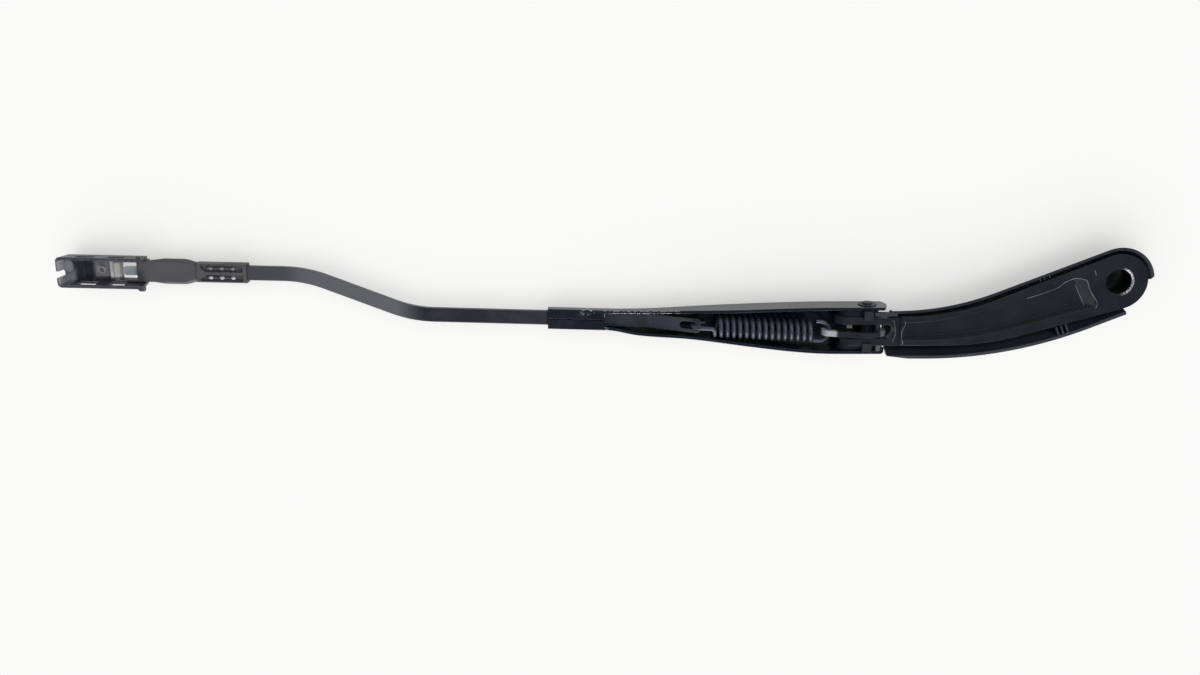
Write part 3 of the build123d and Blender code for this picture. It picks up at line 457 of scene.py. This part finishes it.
# Bare stakes with a painted highlight, stronger on the row nearer the window.
for row, highlight_strength in STAKE_ROWS.values():
    stakes = region(tree, {"X": STAKE_X, "Y": row, "Z": STAKE_Z}, soft=0.0001)
    stain(tree, shader, times(tree, stakes, on_stake), (0.68, 0.68, 0.68), strength=highlight_strength)
# Rubbed bare, and made lighter as painted light against the shade in the housing.
stain(tree, shader, region(tree, PLATE_END, soft=0.0006), (0.66, 0.63, 0.58), strength=0.9)
wear_it(connector_grey, "blade_connector")

# %% [markdown]
# ## The housing
# The housing is grey moulded plastic with pale rubbed edges; its walls are made darker as painted shade. The blade's
# adaptor has scuffed its floor at the nose and worn the seat round the peg; the seat is also made paler as painted
# light against the shade in the deep housing, and the deep part between is made dark as painted shade. Each of these
# is one box of coordinates with a tone of its own.

# %% Finish: housing
# The seat patches are worn and also made paler as painted light against the housing's shade; the deep floor is
# painted shade.
FLOOR_PATCHES = {
    "scuffed nose": ((0.5930, 0.5990), (-0.0105, 0.0030), 0.85, (0.40, 0.40, 0.41)),
    "deep floor painted shade": ((0.5828, 0.5915), (-0.0105, 0.0030), 0.8, (0.014, 0.014, 0.016)),
    "seat": ((0.5660, 0.5822), (-0.0085, 0.0010), 0.9, (0.56, 0.53, 0.50)),
    "rubbed seat": ((0.5672, 0.5738), (-0.0080, 0.0004), 0.9, (0.76, 0.72, 0.66)),
}
housing_grey, tree, shader = start_finish(
    "housing_grey", low=(0.050, 0.049, 0.053), high=(0.075, 0.073, 0.078), rough=(0.35, 0.5), level=0.5,
    grain=(2600.0, 0.000008), edge_round=0.0005, wear=(0.0006, 0.7), dusty=0.2, worn=(0.26, 0.26, 0.27))
# Painted shade: the housing's walls are made darker.
stain(tree, shader, use(tree, sides)["Mask"], (0.020, 0.020, 0.023), strength=0.4)
for along, across, strength, tone in FLOOR_PATCHES.values():
    stain(tree, shader, region(tree, {"X": along, "Y": across}, soft=0.001), tone, strength)
wear_it(housing_grey, "connector_housing")

# %% [markdown]
# ## Bare and dark steel
# The lock clip is bare spring steel, the anchor pin and the rivet are dark, and the spring is coated. All have brush
# lines: along the clip's length, round the pin and the rivet, and along the spring's wire. One function adds those
# lines to the common plan. The link is dark too, and two stretches along X at its bent ends are laid over it as
# brighter metal: painted highlights where those ends catch the light.

# %% Finish: steels
LINE_TONE = 0.6
LINK_ENDS = {"spring end": ((0.1568, 0.1655), 0.75), "pin end": ((0.1270, 0.1318), 0.2)}


def steel(name, low, high, rough, lines, metal=1.0, dusty=0.1, worn=(0.60, 0.60, 0.60), level=0.5):
    """Metal with brush lines: noise squeezed along one axis darkens the tone."""
    made, tree, shader = start_finish(
        name, low, high, rough, level, grain=(1600.0, 0.000004), edge_round=0.0003, wear=(0.0004, 0.4),
        dusty=dusty, worn=worn, metal=metal)
    brush = use(tree, brush_lines, Scale_X=lines[0], Scale_Y=lines[1], Scale_Z=lines[2])["Mask"]
    stain(tree, shader, brush, tuple(v * LINE_TONE for v in low))
    return made, tree, shader


clip_steel = steel("clip_steel", (0.66, 0.66, 0.64), (0.76, 0.76, 0.74), rough=(0.3, 0.42),
                   lines=(300.0, 9000.0, 9000.0), metal=0.35)[0]
wear_it(clip_steel, "lock_clip")
pin_steel = steel("pin_steel", (0.10, 0.10, 0.11), (0.16, 0.16, 0.17), rough=(0.3, 0.42),
                  lines=(6000.0, 600.0, 6000.0))[0]
wear_it(pin_steel, "spring_anchor_pin")
rivet_black = steel("rivet_black", (0.014, 0.015, 0.018), (0.022, 0.023, 0.027), rough=(0.4, 0.5),
                    lines=(2000.0, 600.0, 2000.0), metal=0.3)[0]
wear_it(rivet_black, "pivot_rivet")
link_steel, tree, shader = steel(
    "link_steel", (0.011, 0.012, 0.0155), (0.018, 0.0195, 0.024), rough=(0.38, 0.5),
    lines=(500.0, 6000.0, 6000.0), metal=0.1, dusty=0.03, worn=(0.05, 0.052, 0.06), level=0.25)
# Painted highlights at the link's two bent ends.
for span, highlight_strength in LINK_ENDS.values():
    link_painted_highlight = times(tree, region(tree, {"X": span}, soft=0.001), highlight_strength)
    stain(tree, shader, link_painted_highlight, (0.62, 0.62, 0.63))
    over(tree, shader.inputs["Metallic"], link_painted_highlight, 0.2)
wear_it(link_steel, "spring_link")
spring_steel = steel("spring_steel", (0.054, 0.060, 0.080), (0.086, 0.093, 0.118), rough=(0.34, 0.46),
                     lines=(4000.0, 900.0, 900.0), metal=0.6, worn=(0.11, 0.115, 0.13))[0]
wear_it(spring_steel, "tension_spring")

# %% [markdown]
# ## Casting flash on the head, in plan
# Where the two halves of the casting die met round the ramp and the neck, thin uneven lines of metal stand up and
# catch the light. They could be painted into the finish, but then they would be missing from the mesh. So their
# points are given in plan, and a ray sent down onto the head gives each one its height, so that no line floats. Three
# short ticks lie on the cover's ribs beside the head. Their height is known and given.

# %% Flash lines in plan, in millimetres
MM_PER_M, RAY_FROM, DOWN = 1000.0, 0.02, Vector((0.0, 0.0, -1.0))
flash_lines = {
    "ramp_head": ((18.3, -0.6), (17.3, 1.1), (16.6, 3.3), (15.4, 5.7), (13.4, 8.7), (11.7, 10.6), (10.8, 12.8),
                  (11.2, 15.0), (11.8, 15.7)),
    "ramp_foot": ((23.6, 2.3), (22.4, 4.5), (20.9, 7.7), (19.1, 10.6), (17.7, 13.2), (17.7, 14.3)),
    "north_step": ((51.0, 9.7), (45.6, 7.9), (39.8, 5.8), (35.8, 4.2), (33.4, 2.9), (32.3, 1.9), (31.3, 0.6),
                   (28.9, -0.6), (26.2, -1.8), (24.4, -2.1), (22.5, -1.9), (19.6, -1.4), (18.3, -0.9)),
    "bore_mark": ((14.7, -6.6), (13.8, -5.1), (13.6, -3.7)),
    "edge_mark": ((36.8, 0.4), (36.8, 0.8), (36.7, 1.2)),
    "neck_slot": ((125.4, 22.6), (124.4, 23.4), (124.0, 25.8), (123.8, 27.8), (123.3, 29.8), (123.5, 32.2),
                  (124.3, 34.1), (124.6, 35.8)),
    "neck_beam": ((118.6, 23.4), (118.2, 24.9), (118.8, 26.2), (119.5, 27.6), (120.2, 28.8), (120.2, 30.6),
                  (119.9, 32.5), (119.8, 34.1), (119.2, 35.3), (119.0, 36.3), (119.5, 37.1)),
}
rib_ticks = {
    "rib_tick_1": ((39.02, -3.51, -2.95), (38.60, -2.48, -2.9), (38.23, -1.56, -2.95)),
    "rib_tick_2": ((41.52, -2.50, -2.95), (41.12, -1.50, -2.9), (40.74, -0.55, -2.95)),
    "rib_tick_3": ((44.03, -1.49, -2.95), (43.63, -0.49, -2.9), (43.24, 0.46, -2.95)),
}
head_faces = BVHTree.FromObject(nodes["mounting_head"], bpy.context.evaluated_depsgraph_get())


def on_head(x, y, z=None):
    """A point in metres: at its own height, or on the head where a ray sent down meets it."""
    if z is not None:
        return Vector((x, y, z)) / MM_PER_M
    return head_faces.ray_cast(Vector((x / MM_PER_M, y / MM_PER_M, RAY_FROM)), DOWN)[0]


for name, points in flash_lines.items():
    print(name, "heights in mm:", [round(MM_PER_M * on_head(*point).z, 1) for point in points])
flash_lines.update(rib_ticks)

# %% [markdown]
# ## Casting flash as beads
# Each line becomes a NURBS curve with a thin round section. A tube of even width would look like wire, so the radius
# wanders from point to point. The curves are made into meshes, gathered in one bmesh and given to a single object,
# which rides on the head's body and wears a pale grey version of the head's paint: partly paint worn on the ridges,
# partly a painted highlight of the light lines they catch.

# %% Flash lines as beads
FLASH_RADIUS, USUAL_RADIUS, WANDER = 0.00027, 0.8, 0.4


def flash_bead(points):
    """One bead of flash as a mesh, along plan points."""
    curve = bpy.data.curves.new("flash_bead", "CURVE")
    curve.dimensions = "3D"
    curve.bevel_depth = FLASH_RADIUS
    curve.bevel_resolution = 2
    curve.resolution_u = 10
    curve.use_fill_caps = True
    line = curve.splines.new("NURBS")
    line.points.add(len(points) - 1)
    for number, (point, spot) in enumerate(zip(line.points, points)):
        point.co = (*on_head(*spot), 1.0)
        point.radius = USUAL_RADIUS + WANDER * math.sin(2.3 * number + 10.0 * spot[1])
    line.order_u = 3
    line.use_endpoint_u = True
    holder = bpy.data.objects.new("flash_bead", curve)
    mesh = bpy.data.meshes.new_from_object(holder)
    bpy.data.objects.remove(holder)
    return mesh


shape = bmesh.new()
for points in flash_lines.values():
    shape.from_mesh(flash_bead(points))
for face in shape.faces:
    face.smooth = True
head_flash = bpy.data.objects.new("head_flash", bpy.data.meshes.new("head_flash"))
shape.to_mesh(head_flash.data)
shape.free()
bpy.context.scene.collection.objects.link(head_flash)
# Pale grey: partly paint worn on the ridges, partly painted highlight.
flash_grey_and_highlight = start_finish(
    "flash_grey_and_highlight", low=(0.09, 0.095, 0.108), high=(0.20, 0.205, 0.22), rough=(0.3, 0.45), level=0.5,
    grain=(1500.0, 0.00001), edge_round=0.0001, wear=(0.0002, 0.3), dusty=0.0, worn=(0.3, 0.3, 0.31))[0]
head_flash.data.materials.append(flash_grey_and_highlight)
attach(head_flash, "head")
print("flash lines:", len(flash_lines), "faces:", len(head_flash.data.polygons))

# %% [markdown]
# ## The table
# The arm swings down through the table's plane when it is opened, and a solid table would hide that pose. So the
# table is clear to the camera, to mirrors and to lamp light, and only its shade is seen: one Ambient Occlusion node
# looks up from the plane, leaning towards the window lamp, another looks straight up, and both darken the pale
# backdrop where the arm covers the light. Bounced light still meets a pale solid plane.

# %% Table
TABLE_SIZE, TABLE_DROP, TABLE_MIDDLE_X = 6.0, 0.0002, 0.29
TABLE_TONE, TABLE_ROUGH = (0.86, 0.86, 0.85, 1.0), 0.6
SOFT_REACH, SOFT_SHADE = 0.07, (0.35, 1.0, 0.80, 1.0)
CLOSE_REACH, CLOSE_SHADE = 0.018, (0.2, 1.0, 0.68, 1.0)
floor_z = cad_box[0].z - TABLE_DROP
bpy.ops.mesh.primitive_plane_add(size=TABLE_SIZE, location=(TABLE_MIDDLE_X, 0.0, floor_z))
table = bpy.context.object
table.name = "table"
table_top = bpy.data.materials.new("table_top")
table_top.use_nodes = True
tree = table_top.node_tree
pale = tree.nodes["Principled BSDF"]
pale.inputs["Base Color"].default_value = TABLE_TONE
pale.inputs["Roughness"].default_value = TABLE_ROUGH
to_lamp = put(tree, "CombineXYZ", X=0.40, Y=0.62, Z=0.68).outputs["Vector"]
leaning = put(tree, "AmbientOcclusion", {"samples": 16}, Distance=SOFT_REACH, Normal=to_lamp).outputs["AO"]
straight = put(tree, "AmbientOcclusion", {"samples": 16}, Distance=CLOSE_REACH).outputs["AO"]
shade = put(tree, "CombineColor")
shade_level = times(tree, ramp(tree, leaning, *SOFT_SHADE), ramp(tree, straight, *CLOSE_SHADE))
for channel in shade.inputs:
    join(tree, channel, shade_level)
clear = put(tree, "BsdfTransparent", Color=shade.outputs["Color"]).outputs["BSDF"]
rays = put(tree, "LightPath").outputs
seen_through = put(tree, "NewGeometry").outputs["Backfacing"]
for kind in ("Camera", "Shadow", "Glossy", "Transmission"):
    seen_through = sums(tree, "MAXIMUM", seen_through, rays[f"Is {kind} Ray"])
both = put(tree, "MixShader")
for socket, value in zip(both.inputs, (seen_through, pale.outputs["BSDF"], clear)):
    join(tree, socket, value)
join(tree, tree.nodes["Material Output"].inputs["Surface"], both.outputs["Shader"])
table.data.materials.append(table_top)
print("table at", round(floor_z, 4))

# %% [markdown]
# ## The room
# The room is pale near the horizon and a dim blue overhead. Black paint mirrors that blue, which deepens the
# blue-black of the real arm. A camera ray sees a plain pale backdrop instead, and so does a mirrored ray that looks
# down through the clear table, since a real table would be there.

# %% Room
HORIZON, OVERHEAD, BACKDROP = (0.60, 0.61, 0.62), (0.15, 0.178, 0.24), (0.955, 0.955, 0.948)
WALL_SPAN, BELOW_HORIZON = (0.05, 0.65), (0.0, -0.02)
room = bpy.data.worlds.new("room")
room.use_nodes = True
bpy.context.scene.world = room
tree = room.node_tree
height = put(tree, "SeparateXYZ", Vector=put(tree, "TexCoord").outputs["Generated"]).outputs["Z"]
wall = tint(tree, ramp(tree, height, *WALL_SPAN), HORIZON, OVERHEAD)
rays = put(tree, "LightPath").outputs
mirrored = sums(tree, "MAXIMUM", rays["Is Glossy Ray"], rays["Is Transmission Ray"])
mirrored = times(tree, mirrored, ramp(tree, height, *BELOW_HORIZON))
pale_part = sums(tree, "MAXIMUM", rays["Is Camera Ray"], mirrored)
join(tree, tree.nodes["Background"].inputs["Color"], tint(tree, pale_part, wall, BACKDROP))
print("world:", room.name)

# %% [markdown]
# ## The lamps
# A large soft lamp stands low at the picture's bottom, like a window, and a weaker one stands opposite. Large lamps
# give the soft edges that the shading on the real arm has. Each one is turned to the middle of the arm by two angles,
# one for how far it leans and one for its bearing.

# %% Lamps
ARM_MIDDLE = (0.29, 0.012, -0.01)


def soft_lamp(name, stand, size, watts):
    """A large square lamp turned to the middle of the arm."""
    data = bpy.data.lights.new(name, "AREA")
    data.size, data.energy = size, watts
    lamp = bpy.data.objects.new(name, data)
    bpy.context.scene.collection.objects.link(lamp)
    lamp.location = stand
    towards = [b - a for a, b in zip(stand, ARM_MIDDLE)]
    flat = math.hypot(towards[0], towards[1])
    lamp.rotation_euler = (math.atan2(flat, -towards[2]), 0.0, math.atan2(-towards[0], towards[1]))


soft_lamp("window_lamp", stand=(0.15, 1.25, 0.65), size=1.0, watts=18.0)
soft_lamp("fill_lamp", stand=(-0.25, -0.55, 0.95), size=0.9, watts=6.0)

# %% [markdown]
# ## The camera
# The photo was taken from above, a little tilted. The camera's place and tilt were found by matching known forms of
# the arm with where they lie in the picture, and its lens comes from the focal length in pixels. It is turned half
# round, because the arm's +X points to the picture's left.

# %% Camera
CAMERA_PLACE, TILT = (0.29182, -0.15739, 0.62160), 17.0
SENSOR_WIDTH, FOCAL_PIXELS, PICTURE_WIDTH = 36.0, 1140.35, 1200
camera = bpy.data.objects.new("camera", bpy.data.cameras.new("camera"))
bpy.context.scene.collection.objects.link(camera)
camera.location = CAMERA_PLACE
camera.rotation_euler = (math.radians(-TILT), 0.0, math.radians(180.0))
camera.data.sensor_width = SENSOR_WIDTH
camera.data.lens = SENSOR_WIDTH * FOCAL_PIXELS / PICTURE_WIDTH
bpy.context.scene.camera = camera
bpy.context.scene.view_settings.view_transform = "Standard"
print("camera lens:", round(camera.data.lens, 2))
